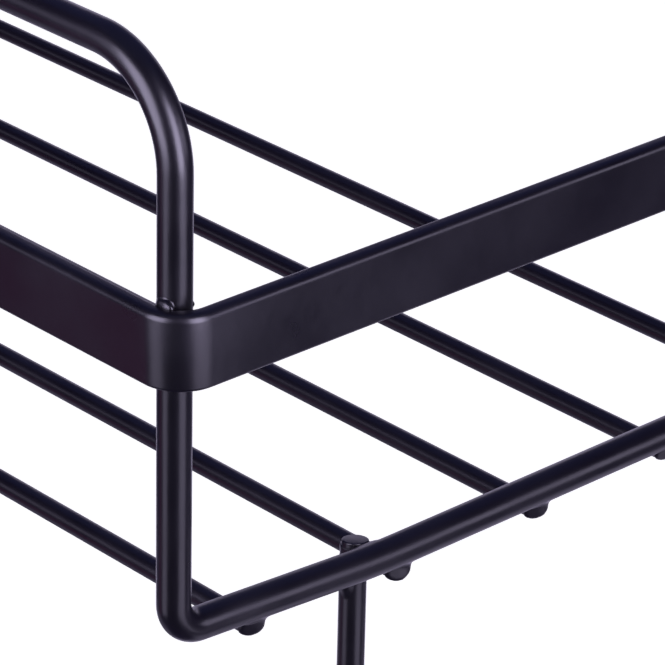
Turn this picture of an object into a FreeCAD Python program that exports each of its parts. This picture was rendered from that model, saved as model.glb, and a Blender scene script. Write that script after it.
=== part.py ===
"""Two-tier standing wire rack: two alike welded wire baskets carried by four straight uprights.

Units are millimetres. +X runs along the rack's length, +Y from front to back, +Z up.
The origin is the centre of the rack's outline, at floor level.
"""
import FreeCAD, Part
import math
import os

# Stock
frame_wire_diameter = 6.0
floor_wire_diameter = 4.0
upright_diameter = 5.0
rim_height = 13.8
rim_thickness = 3.0

# Basket
post_span_x = 300.0             # between corner post axes, along the length
post_span_y = 184.0             # between corner post axes, front to back
floor_wire_count = 5
floor_wire_pitch = 35.0
first_floor_wire_inset = 18.2   # from the front posts' axes to the first floor wire
bar_rise = 106.1                # long top bar's axis above the side rail's axis
rail_end_rise = 3.1             # a side rail's ends climb to the posts from the upright welds
bottom_bend_radius = 6.0        # centreline radii of the bent wire
top_bend_radius = 18.5
rail_kink_radius = 200.0
rim_rise = 51.6                 # rim's lower edge above the side rail's axis
rim_gap_long = 0.15             # between a post and the strip along the front or back
rim_gap_short = 1.4             # between a post and the strip across an end
rim_inner_corner_radius = 5.0
rim_edge_radius = 0.7
floor_wire_drop = 4.6           # floor wire's axis below the side rail's, pressed in by the weld
floor_wire_overhang = 0.5       # sheared end beyond the side rail's axis

# Rack
lower_rail_z = 30.0             # side rail axes above the floor
upper_rail_z = 350.0
upright_inset = 46.9            # from a corner post's axis, along the side rail
upright_end_rise = 1.8          # upright's sheared top above the upper rail's axis
sheared_edge = 0.3

# Rubber foot cap
cap_floor = 3.0                 # rubber under the end of an upright
cap_height = 14.0
cap_foot_radius = 5.0
cap_mouth_radius = 4.3
cap_rounding = 0.4

# Worked-out dimensions
frame_wire_radius = frame_wire_diameter / 2
floor_wire_radius = floor_wire_diameter / 2
upright_radius = upright_diameter / 2
post_x = post_span_x / 2
post_y = post_span_y / 2
kink_y = post_y - upright_inset


def point(x, y, z):
    return FreeCAD.Vector(x, y, z)


def bent_path(corners, bend_radii):
    """Straight runs between the corners, joined by tangent arcs of the given radii."""
    edges = []
    start = corners[0]
    for before, corner, after, radius in zip(corners, corners[1:], corners[2:], bend_radii):
        back = (before - corner).normalize()
        ahead = (after - corner).normalize()
        half_angle = back.getAngle(ahead) / 2
        run_in = corner + back * (radius / math.tan(half_angle))
        run_out = corner + ahead * (radius / math.tan(half_angle))
        bisector = (back + ahead).normalize()
        middle = corner + bisector * (radius / math.sin(half_angle) - radius)
        edges.append(Part.LineSegment(start, run_in).toShape())
        edges.append(Part.Arc(run_in, middle, run_out).toShape())
        start = run_out
    edges.append(Part.LineSegment(start, corners[-1]).toShape())
    return Part.Wire(edges)


def bent_wire(corners, bend_radii, radius):
    """A round wire whose axis follows the bent path."""
    path = bent_path(corners, bend_radii)
    section = Part.Wire(Part.makeCircle(radius, corners[0], corners[1] - corners[0]))
    return path.makePipeShell([section], True, False)


def straight_wire(start, end, radius):
    """A straight round wire with its sheared ends slightly chamfered."""
    wire = Part.makeCylinder(radius, (end - start).Length, start, end - start)
    end_circles = [edge for edge in wire.Edges if isinstance(edge.Curve, Part.Circle)]
    return wire.makeChamfer(sheared_edge, end_circles)


def rail_rise(y):
    """How far a side rail's axis has climbed above its level middle stretch."""
    return rail_end_rise * max(0, abs(y) - kink_y) / upright_inset


def basket_frame(side_y, rail_z):
    """Half rail, corner post, long top bar, corner post and half rail, bent from one wire.

    side_y is -1 for the front frame and +1 for the back. The two meet in butt welds at Y = 0.
    """
    y = side_y * post_y
    bar_z = rail_z + bar_rise
    left = [
        point(-post_x, 0, rail_z),
        point(-post_x, side_y * kink_y, rail_z),
        point(-post_x, y, rail_z + rail_end_rise),
        point(-post_x, y, bar_z),
    ]
    right = [point(-corner.x, corner.y, corner.z) for corner in reversed(left)]
    left_bends = [rail_kink_radius, bottom_bend_radius, top_bend_radius]
    return bent_wire(left + right, left_bends + left_bends[::-1], frame_wire_radius)


def rounded_block(half_x, half_y, corner_radius, low, height):
    """A rectangular block about the Z axis with rounded upright corners."""
    block = Part.makeBox(2 * half_x, 2 * half_y, height, point(-half_x, -half_y, low))
    upright = [edge for edge in block.Edges if abs(edge.tangentAt(edge.FirstParameter).z) > 0.9]
    return block.makeFillet(corner_radius, upright)


def rim_strip(rail_z):
    """The flat strip bent to a closed rectangle outside the four posts."""
    inner_x = post_x + frame_wire_radius + rim_gap_short
    inner_y = post_y + frame_wire_radius + rim_gap_long
    outer_radius = rim_inner_corner_radius + rim_thickness
    low = rail_z + rim_rise
    outside = rounded_block(inner_x + rim_thickness, inner_y + rim_thickness, outer_radius, low, rim_height)
    inside = rounded_block(inner_x, inner_y, rim_inner_corner_radius, low, rim_height)
    strip = outside.cut(inside)
    level = [edge for edge in strip.Edges if abs(edge.Vertexes[0].Z - edge.Vertexes[-1].Z) < 0.001]
    return strip.makeFillet(rim_edge_radius, level)


def floor_wire(index, rail_z, frames):
    """One straight wire under both side rails, with a shallow saddle where each is pressed in."""
    y = -post_y + first_floor_wire_inset + index * floor_wire_pitch
    z = rail_z + rail_rise(y) - floor_wire_drop
    reach = post_x + floor_wire_overhang
    wire = straight_wire(point(-reach, y, z), point(reach, y, z), floor_wire_radius)
    for frame in frames:
        wire = wire.cut(frame)
    return wire


def upright_position(side_x, side_y):
    """Against the inner side of the side rails."""
    x = side_x * (post_x - frame_wire_radius - upright_radius)
    y = side_y * (post_y - upright_inset)
    return x, y


def upright(side_x, side_y):
    """A straight wire from the rubber in its cap up to the upper basket's side rail."""
    x, y = upright_position(side_x, side_y)
    top = upper_rail_z + upright_end_rise
    return straight_wire(point(x, y, cap_floor), point(x, y, top), upright_radius)


def foot_cap(side_x, side_y):
    """A tapered rubber cap pushed over the foot of an upright."""
    x, y = upright_position(side_x, side_y)
    body = Part.makeCone(cap_foot_radius, cap_mouth_radius, cap_height, point(x, y, 0))
    end_circles = [edge for edge in body.Edges if isinstance(edge.Curve, Part.Circle)]
    body = body.makeFillet(cap_rounding, end_circles)
    return body.cut(upright(side_x, side_y))


def build():
    """Every piece by its node name."""
    pieces = {}
    for tier, rail_z in (("lower", lower_rail_z), ("upper", upper_rail_z)):
        frames = [basket_frame(-1, rail_z), basket_frame(1, rail_z)]
        pieces[f"{tier}_front_frame"], pieces[f"{tier}_back_frame"] = frames
        pieces[f"{tier}_rim_strip"] = rim_strip(rail_z)
        for index in range(floor_wire_count):
            pieces[f"{tier}_floor_wire_{index + 1}"] = floor_wire(index, rail_z, frames)
    for y_name, side_y in (("front", -1), ("back", 1)):
        for x_name, side_x in (("left", -1), ("right", 1)):
            pieces[f"upright_{y_name}_{x_name}"] = upright(side_x, side_y)
            pieces[f"foot_cap_{y_name}_{x_name}"] = foot_cap(side_x, side_y)
    return pieces


def write(pieces):
    os.makedirs("parts", exist_ok=True)
    for name, shape in pieces.items():
        solid = shape.Solids[0]
        solid.exportStep(f"parts/{name}.step")
        print(f"{name}: valid {shape.isValid()}, solids {len(shape.Solids)}, {solid.Volume:.1f} mm3")


write(build())
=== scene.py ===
"""Looks of the two-tier wire rack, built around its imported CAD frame. Lengths in metres."""

import math

import bpy
import numpy as np
from mathutils import Matrix, Vector

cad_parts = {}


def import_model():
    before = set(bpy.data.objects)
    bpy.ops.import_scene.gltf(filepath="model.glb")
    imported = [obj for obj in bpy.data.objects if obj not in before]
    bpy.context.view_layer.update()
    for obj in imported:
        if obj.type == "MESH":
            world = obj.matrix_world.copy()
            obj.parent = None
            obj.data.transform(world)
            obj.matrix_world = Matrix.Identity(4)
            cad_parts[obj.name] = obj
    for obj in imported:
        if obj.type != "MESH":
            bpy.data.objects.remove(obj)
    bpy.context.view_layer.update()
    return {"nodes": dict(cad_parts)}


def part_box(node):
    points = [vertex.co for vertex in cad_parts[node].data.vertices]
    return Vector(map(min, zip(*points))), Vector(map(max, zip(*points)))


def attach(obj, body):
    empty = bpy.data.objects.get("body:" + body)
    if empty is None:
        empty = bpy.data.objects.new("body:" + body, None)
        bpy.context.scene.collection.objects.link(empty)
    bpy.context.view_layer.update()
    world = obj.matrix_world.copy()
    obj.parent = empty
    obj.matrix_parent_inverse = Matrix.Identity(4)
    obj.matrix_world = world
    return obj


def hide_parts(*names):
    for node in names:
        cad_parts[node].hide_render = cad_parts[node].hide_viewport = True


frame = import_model()

MM = 0.001
TIERS = ("lower", "upper")
SIDES = (-1, 1)

# Stock and bends that the boxes alone don't give
frame_radius = 3.0 * MM
floor_wire_radius = 2.0 * MM
upright_radius = 2.5 * MM
bottom_bend = 6.0 * MM
top_bend = 18.5 * MM
rail_kink = 200.0 * MM
rail_end_rise = 3.1 * MM         # the side rails' ends climb to the posts from beside the uprights
rim_thickness = 3.0 * MM
rim_inner_corner = 5.0 * MM
rim_edge = 0.7 * MM
rim_outer_top_edge = 1.4 * MM
shear_rounding = 0.35 * MM
shear_slope = math.tan(math.radians(8))     # an upright's cut top leans towards the rack's middle
shear_burr = 0.45 * MM           # the cut raises an upright's top edge by this much
shear_drag = 0.30 * MM           # and drags it sideways, less and less over the dragged length
dragged_length = 3.0 * MM
wire_end_set_back = 1.5 * MM     # floor wires stop this short inside their weld nubs

# Places, from the frame
frame_low, frame_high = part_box("upper_front_frame")
post_x = -(frame_low.x + frame_radius)
post_y = -(frame_low.y + frame_radius)
bar_rise = frame_high.z - frame_low.z - 2 * frame_radius
rail_z = {tier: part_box(tier + "_front_frame")[0].z + frame_radius for tier in TIERS}
floor_wire_names = sorted(name for name in frame["nodes"] if "_floor_wire_" in name)
upright_names = sorted(name for name in frame["nodes"] if name.startswith("upright_"))
upright_low, upright_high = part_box("upright_front_right")
upright_x = (upright_low.x + upright_high.x) / 2
kink_y = -(upright_low.y + upright_high.y) / 2
cap_names = sorted(name for name in frame["nodes"] if name.startswith("foot_cap_"))


# ---------------------------------------------------------------- materials

def new_material(name):
    material = bpy.data.materials.new(name)
    material.use_nodes = True
    nodes = material.node_tree.nodes
    return material, nodes, material.node_tree.links, nodes["Principled BSDF"]


def noise_node(nodes, links, where, scale, detail=2.0, roughness=0.5):
    node = nodes.new("ShaderNodeTexNoise")
    node.inputs["Scale"].default_value = scale
    node.inputs["Detail"].default_value = detail
    node.inputs["Roughness"].default_value = roughness
    links.new(where, node.inputs["Vector"])
    return node


def map_range(nodes, links, value, low, high, to_low, to_high):
    node = nodes.new("ShaderNodeMapRange")
    node.inputs["From Min"].default_value = low
    node.inputs["From Max"].default_value = high
    node.inputs["To Min"].default_value = to_low
    node.inputs["To Max"].default_value = to_high
    links.new(value, node.inputs["Value"])
    return node.outputs["Result"]


def two_colours(nodes, links, factor, dark, light):
    node = nodes.new("ShaderNodeMix")
    node.data_type = "RGBA"
    node.inputs["A"].default_value = (*dark, 1)
    node.inputs["B"].default_value = (*light, 1)
    links.new(factor, node.inputs["Factor"])
    return node.outputs["Result"]


def bump(nodes, links, height, distance, strength=1.0, under=None):
    node = nodes.new("ShaderNodeBump")
    node.inputs["Distance"].default_value = distance
    node.inputs["Strength"].default_value = strength
    links.new(height, node.inputs["Height"])
    if under is not None:
        links.new(under, node.inputs["Normal"])
    return node.outputs["Normal"]


def powder_coat():
    """Satin black powder coat with a violet cast: slow flow waves, fine orange peel, uneven gloss."""
    material, nodes, links, shader = new_material("satin_powder_coat")
    where = nodes.new("ShaderNodeTexCoord").outputs["Object"]
    cloud = noise_node(nodes, links, where, 55, 3)
    flow = noise_node(nodes, links, where, 130, 2)
    peel = noise_node(nodes, links, where, 900, 2, 0.6)
    colour = two_colours(nodes, links, cloud.outputs["Fac"], (0.0030, 0.0020, 0.0075), (0.0065, 0.0045, 0.0130))
    links.new(colour, shader.inputs["Base Color"])
    gloss = map_range(nodes, links, cloud.outputs["Fac"], 0.3, 0.7, 0.27, 0.36)
    links.new(gloss, shader.inputs["Roughness"])
    waves = bump(nodes, links, flow.outputs["Fac"], 0.10 * MM)
    links.new(bump(nodes, links, peel.outputs["Fac"], 0.006 * MM, under=waves), shader.inputs["Normal"])
    shader.inputs["IOR"].default_value = 1.5
    return material


def moulded_rubber():
    """Matte black rubber: very rough, faintly mottled, with a fine moulded grain."""
    material, nodes, links, shader = new_material("moulded_rubber")
    where = nodes.new("ShaderNodeTexCoord").outputs["Object"]
    mottle = noise_node(nodes, links, where, 240, 3)
    grain = noise_node(nodes, links, where, 2600, 2, 0.6)
    colour = two_colours(nodes, links, mottle.outputs["Fac"], (0.010, 0.010, 0.011), (0.020, 0.020, 0.021))
    links.new(colour, shader.inputs["Base Color"])
    links.new(map_range(nodes, links, mottle.outputs["Fac"], 0.3, 0.7, 0.62, 0.78), shader.inputs["Roughness"])
    links.new(bump(nodes, links, grain.outputs["Fac"], 0.02 * MM), shader.inputs["Normal"])
    return material


coat = powder_coat()
rubber = moulded_rubber()


# ---------------------------------------------------------------- mesh helpers

def make_object(name, vertices, faces, material, replaced=()):
    mesh = bpy.data.meshes.new(name)
    mesh.from_pydata([tuple(v) for v in vertices], [], [tuple(f) for f in faces])
    mesh.validate()
    mesh.polygons.foreach_set("use_smooth", [True] * len(mesh.polygons))
    mesh.set_sharp_from_angle(angle=math.radians(50))
    mesh.materials.append(material)
    piece = bpy.data.objects.new(name, mesh)
    bpy.context.scene.collection.objects.link(piece)
    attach(piece, "root")
    if replaced:
        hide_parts(*replaced)
    return piece


def run(start, end, spacing):
    """Points from start towards end, without the end itself."""
    count = max(1, int((end - start).length / spacing))
    return [start.lerp(end, i / count) for i in range(count)]


def bent_centreline(corners, radii, spacing=4 * MM, arc_steps=22):
    """Straight runs joined by tangent arcs of the given radii."""
    points = []
    start = corners[0]
    for before, corner, after, radius in zip(corners, corners[1:], corners[2:], radii):
        back = (before - corner).normalized()
        ahead = (after - corner).normalized()
        half = back.angle(ahead) / 2
        run_in = corner + back * radius / math.tan(half)
        centre = corner + (back + ahead).normalized() * radius / math.sin(half)
        turn = (-back).rotation_difference(ahead)
        points += run(start, run_in, spacing)
        spoke = run_in - centre
        for i in range(arc_steps):
            share = Matrix.Identity(3).to_quaternion().slerp(turn, i / arc_steps)
            points.append(centre + share @ spoke)
        start = centre + turn @ spoke
    points += run(start, corners[-1], spacing)
    points.append(corners[-1].copy())
    return points


def tube(points, radii, sides):
    """Vertices and faces of a round tube along the points, with capped ends."""
    tangents = []
    for i in range(len(points)):
        ahead = points[min(i + 1, len(points) - 1)]
        behind = points[max(i - 1, 0)]
        tangents.append((ahead - behind).normalized())
    across = tangents[0].orthogonal().normalized()
    vertices = []
    for i, (point, radius) in enumerate(zip(points, radii)):
        if i:
            across = tangents[i - 1].rotation_difference(tangents[i]) @ across
        across = (across - tangents[i] * across.dot(tangents[i])).normalized()
        other = tangents[i].cross(across)
        for k in range(sides):
            angle = 2 * math.pi * k / sides
            vertices.append(point + (across * math.cos(angle) + other * math.sin(angle)) * radius)
    faces = []
    for i in range(len(points) - 1):
        for k in range(sides):
            a = i * sides + k
            b = i * sides + (k + 1) % sides
            faces.append((a, b, b + sides, a + sides))
    for ring, order in ((0, -1), (len(points) - 1, 1)):
        vertices.append(points[ring].copy())
        hub = len(vertices) - 1
        for k in range(sides):
            edge = (ring * sides + k, ring * sides + (k + 1) % sides)
            faces.append((*edge[::order], hub) if order == 1 else (edge[1], edge[0], hub))
    return vertices, faces


def sheared_rod(start, end, radius, spacing=6 * MM):
    """Centreline points and radii of a straight rod whose cut ends are softened by the coating."""
    along = (end - start).normalized()
    steps = 6
    points = []
    radii = []

    def softened(tip, inward, order):
        for i in order:
            angle = math.pi / 2 * i / steps
            points.append(tip + inward * shear_rounding * (1 - math.cos(math.pi / 2 - angle)))
            radii.append(radius - shear_rounding * (1 - math.cos(angle)) if i < steps else radius - shear_rounding)

    softened(start, along, range(steps, -1, -1))
    inside_start = start + along * shear_rounding
    inside_end = end - along * shear_rounding
    for point in run(inside_start, inside_end, spacing)[1:]:
        points.append(point)
        radii.append(radius)
    softened(end, -along, range(0, steps + 1))
    return points, radii


# ---------------------------------------------------------------- bent frames and straight wires

def climb(y):
    """How far a side rail's axis has climbed above its level middle, at this place along it."""
    slope = rail_end_rise / (post_y - kink_y)
    tangent = rail_kink * math.tan(math.atan(slope) / 2)
    past = np.abs(y) - kink_y
    arc = rail_kink - np.sqrt(rail_kink ** 2 - np.clip(past + tangent, 0, 2 * tangent) ** 2)
    return np.where(past > tangent, slope * past, arc)


def basket_frame(tier, side_name, side):
    level = rail_z[tier]
    y = side * post_y
    left = [
        Vector((-post_x, 0, level)),
        Vector((-post_x, side * kink_y, level)),
        Vector((-post_x, y, level + rail_end_rise)),
        Vector((-post_x, y, level + bar_rise)),
    ]
    corners = left + [Vector((-corner.x, corner.y, corner.z)) for corner in reversed(left)]
    bends = [rail_kink, bottom_bend, top_bend]
    points = bent_centreline(corners, bends + bends[::-1])
    vertices, faces = tube(points, [frame_radius] * len(points), 48)
    node = f"{tier}_{side_name}_frame"
    return make_object(node + "_wire", vertices, faces, coat, [node])


def floor_wire(node):
    """A floor wire between its two weld nubs."""
    low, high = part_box(node)
    middle = (low + high) / 2
    start = Vector((low.x + wire_end_set_back, middle.y, middle.z))
    end = Vector((high.x - wire_end_set_back, middle.y, middle.z))
    points, radii = sheared_rod(start, end, floor_wire_radius)
    vertices, faces = tube(points, radii, 36)
    return make_object(node + "_rod", vertices, faces, coat, [node])


def upright(node):
    low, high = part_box(node)
    middle = (low + high) / 2
    start = Vector((middle.x, middle.y, low.z))
    end = Vector((middle.x, middle.y, high.z))
    points, radii = sheared_rod(start, end, upright_radius, 1 * MM)
    vertices, faces = tube(points, radii, 40)
    side_x = math.copysign(1, middle.x)
    side_y = math.copysign(1, middle.y)
    inward = Vector((-side_x, -side_y, 0)).normalized()
    dragged = Vector((side_x, -side_y, 0)).normalized() * shear_drag
    for vertex in vertices:
        share = max(0, 1 - (high.z - vertex.z) / dragged_length)
        if vertex.z > high.z - 2 * shear_rounding:
            vertex.z += shear_burr - (upright_radius + (vertex - middle).dot(inward)) * shear_slope
        vertex += dragged * share
    return make_object(node + "_rod", vertices, faces, coat, [node])


for tier_name in TIERS:
    basket_frame(tier_name, "front", -1)
    basket_frame(tier_name, "back", 1)
for wire_name in floor_wire_names:
    floor_wire(wire_name)
for upright_name in upright_names:
    upright(upright_name)


# ---------------------------------------------------------------- rim strips

def rounded_section(thickness, height, steps=6):
    """Outline of the strip's section: (outward, up) from its inner lower corner."""
    outline = []
    for out, up, radius, first in (
        (1, 0, rim_edge, -90),
        (1, 1, rim_outer_top_edge, 0),
        (0, 1, rim_edge, 90),
        (0, 0, rim_edge, 180),
    ):
        centre_x = thickness - radius if out else radius
        centre_z = height - radius if up else radius
        for i in range(steps + 1):
            angle = math.radians(first + 90 * i / steps)
            outline.append((centre_x + radius * math.cos(angle), centre_z + radius * math.sin(angle)))
    return outline


def rim_path(half_x, half_y, radius, spacing=6 * MM, arc_steps=16):
    """Points on the strip's inner face with the outward direction at each, once round."""
    path = []
    for side_x, side_y, first in ((1, -1, -90), (1, 1, 0), (-1, 1, 90), (-1, -1, 180)):
        centre = Vector((side_x * (half_x - radius), side_y * (half_y - radius), 0))
        for i in range(arc_steps + 1):
            angle = math.radians(first + 90 * i / arc_steps)
            outward = Vector((math.cos(angle), math.sin(angle), 0))
            path.append((centre + outward * radius, outward))
    full = []
    for i, (point, outward) in enumerate(path):
        full.append((point, outward))
        following, next_outward = path[(i + 1) % len(path)]
        if (following - point).length > 2 * spacing:
            full += [(p, outward) for p in run(point, following, spacing)[1:]]
    return full


def rim_strip(node):
    low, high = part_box(node)
    path = rim_path(high.x - rim_thickness, high.y - rim_thickness, rim_inner_corner)
    outline = rounded_section(rim_thickness, high.z - low.z)
    vertices = []
    for point, outward in path:
        for out, up in outline:
            vertices.append(point + outward * out + Vector((0, 0, low.z + up)))
    size = len(outline)
    faces = []
    for i in range(len(path)):
        for k in range(size):
            here = i * size
            there = (i + 1) % len(path) * size
            faces.append((here + k, there + k, there + (k + 1) % size, here + (k + 1) % size))
    return make_object(node + "_bent", vertices, faces, coat, [node])


for tier_name in TIERS:
    rim_strip(tier_name + "_rim_strip")


# ---------------------------------------------------------------- welds
# A weld is a closed skin round the two pieces it joins, a hair inside them except where it bulges
# out of the corner between them. Each is a signed distance field in millimetres about the weld.

GRID = 0.3
SINK = 0.04


def rod_field(p, centre, axis, radius):
    """Distance to an endless rod along the axis (0, 1 or 2)."""
    a, b = [k for k in range(3) if k != axis]
    return np.hypot(p[a] - centre[a], p[b] - centre[b]) - radius


def rounded_end_field(p, centre, axis, sign, radius, tip, rounding):
    """Distance to a rod that ends at tip on its axis, on the sign side, with a rounded edge."""
    a, b = [k for k in range(3) if k != axis]
    radial = np.hypot(p[a] - centre[a], p[b] - centre[b]) - (radius - rounding)
    axial = sign * (p[axis] - tip) + rounding
    outside = np.hypot(np.maximum(radial, 0), np.maximum(axial, 0))
    return outside + np.minimum(np.maximum(radial, axial), 0) - rounding


def ball_field(p, centre, radius):
    return np.sqrt(sum((p[k] - centre[k]) ** 2 for k in range(3))) - radius


def melt(a, b, reach):
    """Smooth union: the two shapes joined by a fillet about as large as reach."""
    share = np.clip(0.5 + 0.5 * (b - a) / reach, 0, 1)
    return b * (1 - share) + a * share - reach * share * (1 - share)


def box_field(p, low, high):
    inside = [np.maximum(low[k] - p[k], p[k] - high[k]) for k in range(3)]
    return np.maximum(np.maximum(inside[0], inside[1]), inside[2])


def skin(field, low, high):
    """Closed quad mesh of the field's zero surface inside the box, one vertex for each cell it crosses."""
    axes = [np.arange(low[k] - GRID, high[k] + 2 * GRID, GRID) for k in range(3)]
    p = np.meshgrid(*axes, indexing="ij")
    value = np.maximum(field(p), box_field(p, low, high))
    solid = value < 0
    shape = [n - 1 for n in value.shape]
    total = np.zeros((*shape, 3))
    count = np.zeros(shape)

    def corner(grid, offset):
        return grid[tuple(slice(o, o + n) for o, n in zip(offset, shape))]

    for axis in range(3):
        others = [k for k in range(3) if k != axis]
        for i in (0, 1):
            for j in (0, 1):
                first = [0, 0, 0]
                first[others[0]] = i
                first[others[1]] = j
                second = list(first)
                second[axis] = 1
                a = corner(value, first)
                b = corner(value, second)
                crossed = (a < 0) != (b < 0)
                share = np.where(crossed, a / np.where(a == b, 1, a - b), 0)
                place = np.stack([np.full(shape, float(o)) for o in first], axis=-1)
                place[..., axis] += share
                total += np.where(crossed[..., None], place, 0)
                count += crossed
    used = count > 0
    number = np.full(shape, -1)
    number[used] = np.arange(used.sum())
    cells = np.argwhere(used)
    origin = np.array([axis[0] for axis in axes])
    vertices = origin + (cells + total[used] / count[used][:, None]) * GRID
    faces = []
    for axis in range(3):
        u, v = [k for k in range(3) if k != axis]
        if axis == 1:
            u, v = v, u
        span = [slice(1, n) for n in shape]
        span[axis] = slice(0, shape[axis])
        ahead = [slice(1, n) for n in shape]
        ahead[axis] = slice(1, shape[axis] + 1)
        here = solid[tuple(span)]
        there = solid[tuple(ahead)]
        for cell in np.argwhere(here != there):
            base = cell.copy()
            base[u] += 1
            base[v] += 1
            quad = []
            for du, dv in ((0, 0), (-1, 0), (-1, -1), (0, -1)):
                index = base.copy()
                index[u] += du
                index[v] += dv
                quad.append(int(number[tuple(index)]))
            if there[tuple(cell)]:
                quad.reverse()
            faces.append(quad)
    return vertices, faces


def rail_field(p, y):
    """Distance to the side rail near this place along it, its axis at the middle there."""
    height = (climb(y + p[1] * MM) - climb(y)) / MM
    return np.hypot(p[0], p[2] - height) - (3.0 - SINK)


def crossing_weld(rng, y):
    """A floor wire's end pressed and melted into the underside of a side rail, wire along X."""
    nub_tip = 0.5 + rng.uniform(-0.2, 0.2)
    nub_radius = 2.0 + rng.uniform(-0.05, 0.05)
    reach = 1.7 + rng.uniform(-0.2, 0.2)
    lean_y = rng.uniform(-0.55, -0.25)
    lean_z = rng.uniform(-0.45, -0.05)

    def field(p):
        wire = rod_field(p, (0, 0, -4.6), 0, 2.0 - SINK)
        wire = np.maximum(wire, p[0])
        nub = rounded_end_field((p[0], p[1] * 0.82, p[2]), (0, 0, -4.5), 0, 1, nub_radius, nub_tip, 0.6)
        nub = np.maximum(nub, -1.5 - p[0])
        joined = melt(rail_field(p, y), melt(wire, nub, 0.8), reach)
        sheared = 0.85 * (p[0] - nub_tip + 0.3) + lean_y * p[1] + lean_z * (p[2] + 4.6)
        sheared = np.where(p[2] > -3.6, -9.0, sheared)
        return -melt(-joined, -sheared, 0.5)

    return skin(field, (-8.0, -6.5, -7.2), (3.5, 6.5, 1.5))


def upright_weld(rng, y, top):
    """An upright melted to the inner side of a side rail, with a drip of flash under the rail."""
    reach = 3.0 + rng.uniform(-0.4, 0.4)
    drip = (-4.9, -2.1 + rng.uniform(-0.3, 0.3), -6.2 + rng.uniform(-0.5, 0.5))

    def field(p):
        rod = rod_field(p, (-5.5, 0, 0), 2, 2.5 - SINK)
        if top is not None:
            rod = np.maximum(rod, p[2] - top)
        joined = melt(rail_field(p, y), rod, reach)
        run_down = np.sqrt((p[0] - drip[0]) ** 2 + (p[1] - drip[1]) ** 2 + ((p[2] - drip[2]) / 2.3) ** 2) - 0.95
        return melt(joined, run_down, 1.0)

    return skin(field, (-9.0, -5.5, -10.0), (2.0, 5.5, 5.5))


def rim_weld(rng):
    """The bead that ties a post to the strip along the front or back, seen from the strip's top edge."""
    bead = (1.2 + rng.uniform(-0.3, 0.3), -2.9, 0.2 + rng.uniform(-0.2, 0.2))
    spatter = (1.95, 2.05, -0.6)

    def field(p):
        post = rod_field(p, (0, 0, 0), 2, 3.0 - SINK)
        leg = box_field(p, (-9, -6.1, -14.2), (9, -3.35, -0.75))
        seam = melt(post, leg, 1.6)
        lump = np.sqrt(((p[0] - bead[0]) / 2.0) ** 2 + ((p[1] - bead[1]) / 0.8) ** 2 + ((p[2] - bead[2]) / 1.2) ** 2)
        seam = melt(seam, (lump - 1) * 1.1, 0.35)
        return melt(seam, ball_field(p, spatter, 0.45), 0.3)

    return skin(field, (-5.0, -4.3, -13.0), (4.2, 3.6, 2.6))


def place_weld(mesh, side_x, side_y, place):
    """The weld's mesh about this place, mirrored to the rack's side."""
    vertices, faces = mesh
    placed = [place + Vector((side_x * v[0], side_y * v[1], v[2])) * MM for v in vertices]
    if side_x * side_y < 0:
        faces = [face[::-1] for face in faces]
    return placed, faces


def join(name, placed_meshes):
    vertices = []
    faces = []
    for placed, placed_faces in placed_meshes:
        faces += [[index + len(vertices) for index in face] for face in placed_faces]
        vertices += placed
    return make_object(name, vertices, faces, coat)


def crossing_welds(tier):
    """All the floor wire welds of a tier as one piece."""
    rng = np.random.default_rng(7)
    placed = []
    for node in floor_wire_names:
        if not node.startswith(tier):
            continue
        low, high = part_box(node)
        y = (low.y + high.y) / 2
        for side in SIDES:
            place = Vector((side * post_x, y, rail_z[tier] + float(climb(y))))
            placed.append(place_weld(crossing_weld(rng, y), side, 1, place))
    return join(tier + "_floor_wire_welds", placed)


def upright_welds(tier):
    """The four welds between a tier's side rails and the uprights."""
    rng = np.random.default_rng(11)
    top = (upright_high.z - rail_z["upper"]) / MM - 0.8 if tier == "upper" else None
    placed = []
    for side_x in SIDES:
        for side_y in SIDES:
            height = float(climb(kink_y))
            place = Vector((side_x * post_x, side_y * kink_y, rail_z[tier] + height))
            placed.append(place_weld(upright_weld(rng, -kink_y, top), side_x, -side_y, place))
    return join(tier + "_upright_welds", placed)


def rim_welds(tier):
    """The four welds between a tier's corner posts and its rim strip."""
    rng = np.random.default_rng(5)
    rim_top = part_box(tier + "_rim_strip")[1].z
    placed = []
    for side_x in SIDES:
        for side_y in SIDES:
            place = Vector((side_x * post_x, side_y * post_y, rim_top))
            placed.append(place_weld(rim_weld(rng), side_x, -side_y, place))
    return join(tier + "_rim_welds", placed)


for tier_name in TIERS:
    crossing_welds(tier_name)
    upright_welds(tier_name)
    rim_welds(tier_name)


# ---------------------------------------------------------------- rubber foot caps

def foot_cap(node):
    low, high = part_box(node)
    middle = (low + high) / 2
    foot = (high.x - low.x) / 2
    mouth = foot - 0.7 * MM
    bore = upright_radius
    height = high.z - low.z
    profile = [
        (foot * 0.45, 0.25 * MM), (foot * 0.55, 0), (foot - 0.5 * MM, 0),
        (foot - 0.15 * MM, 0.15 * MM), (foot, 0.5 * MM), (foot - 0.08 * MM, 2.5 * MM),
        (mouth + 0.1 * MM, height - 2.2 * MM), (mouth + 0.1 * MM, height - 0.6 * MM),
        (mouth - 0.1 * MM, height - 0.2 * MM), (mouth - 0.45 * MM, height), (bore + 0.5 * MM, height),
        (bore + 0.15 * MM, height - 0.15 * MM), (bore, height - 0.5 * MM), (bore, height - 3 * MM),
    ]
    sides = 40
    vertices = []
    for radius, z in profile:
        for k in range(sides):
            angle = 2 * math.pi * k / sides
            vertices.append((middle.x + radius * math.cos(angle), middle.y + radius * math.sin(angle), low.z + z))
    faces = []
    for i in range(len(profile) - 1):
        for k in range(sides):
            a = i * sides + k
            b = i * sides + (k + 1) % sides
            faces.append((a, b, b + sides, a + sides))
    sole = list(range(sides))
    bore_end = list(range((len(profile) - 1) * sides, len(profile) * sides))
    faces += [sole[::-1], bore_end]
    return make_object(node + "_moulded", vertices, faces, rubber, [node])


for cap_name in cap_names:
    foot_cap(cap_name)


# ---------------------------------------------------------------- stage, light and camera

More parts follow.
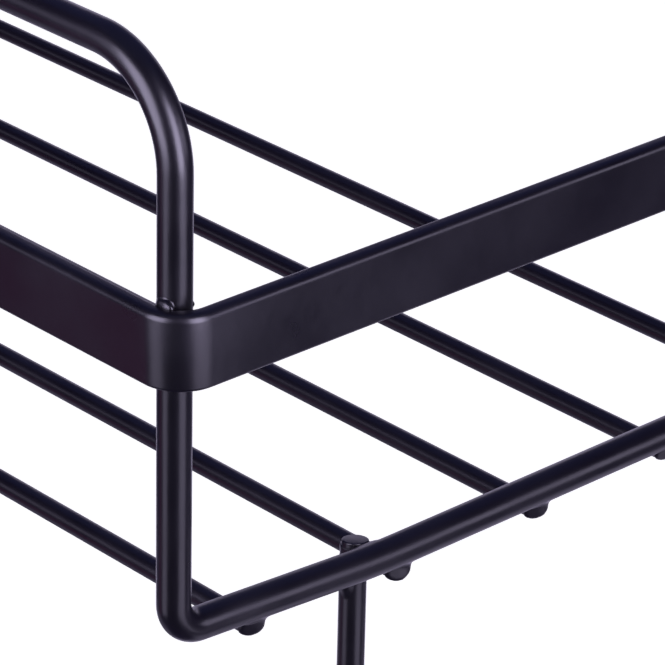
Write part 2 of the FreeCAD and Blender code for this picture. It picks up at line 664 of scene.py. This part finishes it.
def stage_material(name, colour, glow):
    material, nodes, links, shader = new_material(name)
    shader.inputs["Base Color"].default_value = (*colour, 1)
    shader.inputs["Roughness"].default_value = 0.9
    shader.inputs["Specular IOR Level"].default_value = 0.0
    shader.inputs["Emission Color"].default_value = (1, 1, 1, 1)
    shader.inputs["Emission Strength"].default_value = glow
    return material


def stage_piece(name, vertices, faces, material):
    """A part of the stage: no reflections of it and no shadows from it on the rack."""
    mesh = bpy.data.meshes.new(name)
    mesh.from_pydata(vertices, [], faces)
    mesh.materials.append(material)
    piece = bpy.data.objects.new(name, mesh)
    bpy.context.scene.collection.objects.link(piece)
    piece.visible_glossy = False
    piece.visible_shadow = False
    return piece


def floor():
    reach = 30
    vertices = [(-reach, -reach, 0), (reach, -reach, 0), (reach, reach, 0), (-reach, reach, 0)]
    stage_piece("floor", vertices, [(0, 1, 2, 3)], stage_material("pale_floor", (0.80, 0.80, 0.80), 0.75))


def backdrop():
    """Pale walls far away, seen only by the camera, behind the low views."""
    far = 25
    vertices = [(x, y, z) for z in (-1, far) for x, y in ((-far, -far), (far, -far), (far, far), (-far, far))]
    faces = [(0, 1, 5, 4), (1, 2, 6, 5), (2, 3, 7, 6), (3, 0, 4, 7), (4, 5, 6, 7)]
    walls = stage_piece("backdrop", vertices, faces, stage_material("pale_backdrop", (0.0, 0.0, 0.0), 0.80))
    walls.visible_diffuse = False


def direction(azimuth, elevation):
    """Unit vector: azimuth from +X towards +Y, elevation above level."""
    a = math.radians(azimuth)
    e = math.radians(elevation)
    return Vector((math.cos(a) * math.cos(e), math.sin(a) * math.cos(e), math.sin(e)))


def softbox(name, target, azimuth, elevation, distance, width, height, radiance, colour=(1, 1, 1), **seen):
    """A rectangular light of the given radiance, facing the target."""
    light = bpy.data.lights.new(name, "AREA")
    light.shape = "RECTANGLE"
    light.size = width
    light.size_y = height
    light.energy = radiance * width * height * math.pi
    light.color = colour
    lamp = bpy.data.objects.new(name, light)
    bpy.context.scene.collection.objects.link(lamp)
    away = direction(azimuth, elevation)
    lamp.location = target + away * distance
    lamp.rotation_euler = away.to_track_quat("Z", "Y").to_euler()
    lamp.visible_camera = False
    for ray, shown in seen.items():
        setattr(lamp, "visible_" + ray, shown)
    return lamp


near_corner = Vector((post_x, -post_y, rail_z["upper"]))


def lights():
    cool = (0.80, 0.73, 1.0)
    right_of_arch = near_corner + Vector((0, 0, 165 * MM))
    left_of_arch = near_corner + Vector((-25 * MM, 0, 150 * MM))
    softbox("right_low", near_corner, 13, -24, 2.0, 1.4, 1.1, 2.0, cool, diffuse=False)
    softbox("left_low", near_corner, 258, -24, 2.0, 1.0, 1.1, 1.7, cool, diffuse=False)
    softbox("right_near", right_of_arch, 0, 0, 0.25, 0.15, 0.30, 12.0, cool, diffuse=False)
    softbox("left_near", left_of_arch, 268, 0, 0.25, 0.20, 0.25, 8.5, cool, diffuse=False)
    softbox("right_high", near_corner, 41, 10, 2.0, 0.9, 0.8, 3.0, cool, diffuse=False)
    softbox("left_high", near_corner, 221, 8, 2.0, 0.9, 0.7, 0.8, cool, diffuse=False)
    softbox("left_warm", near_corner, 221, -26, 2.0, 0.5, 0.8, 0.24, (1.0, 0.15, 0.50), diffuse=False)
    softbox("below_back", near_corner, 100, -52, 1.0, 1.2, 0.7, 0.8, cool, diffuse=False)
    softbox("below_left", near_corner, 183, -50, 1.0, 0.7, 0.7, 0.35, cool, diffuse=False)
    softbox("back_box", near_corner, 137, -10, 2.5, 3.4, 2.6, 1.1, cool, diffuse=False)
    softbox("sky", near_corner, 137, 66, 2.5, 4.0, 4.2, 0.16, (0.2, 0.32, 1.0), diffuse=False)
    softbox("overhead", Vector((0, 0, 0)), 0, 90, 2.2, 3.0, 3.0, 1.0, (1, 1, 1), glossy=False)


def world():
    scene_world = bpy.data.worlds.new("studio")
    bpy.context.scene.world = scene_world
    scene_world.use_nodes = True
    background = scene_world.node_tree.nodes["Background"]
    background.inputs["Color"].default_value = (0.5, 0.4, 1.0, 1)
    background.inputs["Strength"].default_value = 0.09


def camera():
    """The reference view of the near corner, by where the camera stands from the foot of its post."""
    stand = Vector((449.75, -388.34, 350.27)) * MM
    yaw = math.radians(136.707)
    pitch = math.radians(26.039)
    roll = math.radians(1.309)
    ahead = Vector((math.cos(yaw) * math.cos(pitch), math.sin(yaw) * math.cos(pitch), -math.sin(pitch)))
    level_right = Vector((math.sin(yaw), -math.cos(yaw), 0))
    level_up = level_right.cross(ahead)
    right = level_right * math.cos(roll) + level_up * math.sin(roll)
    up = level_up * math.cos(roll) - level_right * math.sin(roll)
    data = bpy.data.cameras.new("camera")
    data.sensor_width = 36
    data.lens = 219.25
    data.clip_start = 0.05
    data.clip_end = 100
    seer = bpy.data.objects.new("camera", data)
    bpy.context.scene.collection.objects.link(seer)
    seer.matrix_world = Matrix.Translation(near_corner + stand) @ Matrix((right, up, -ahead)).transposed().to_4x4()
    bpy.context.scene.camera = seer


floor()
backdrop()
lights()
world()
camera()
bpy.context.scene.view_settings.view_transform = "Standard"
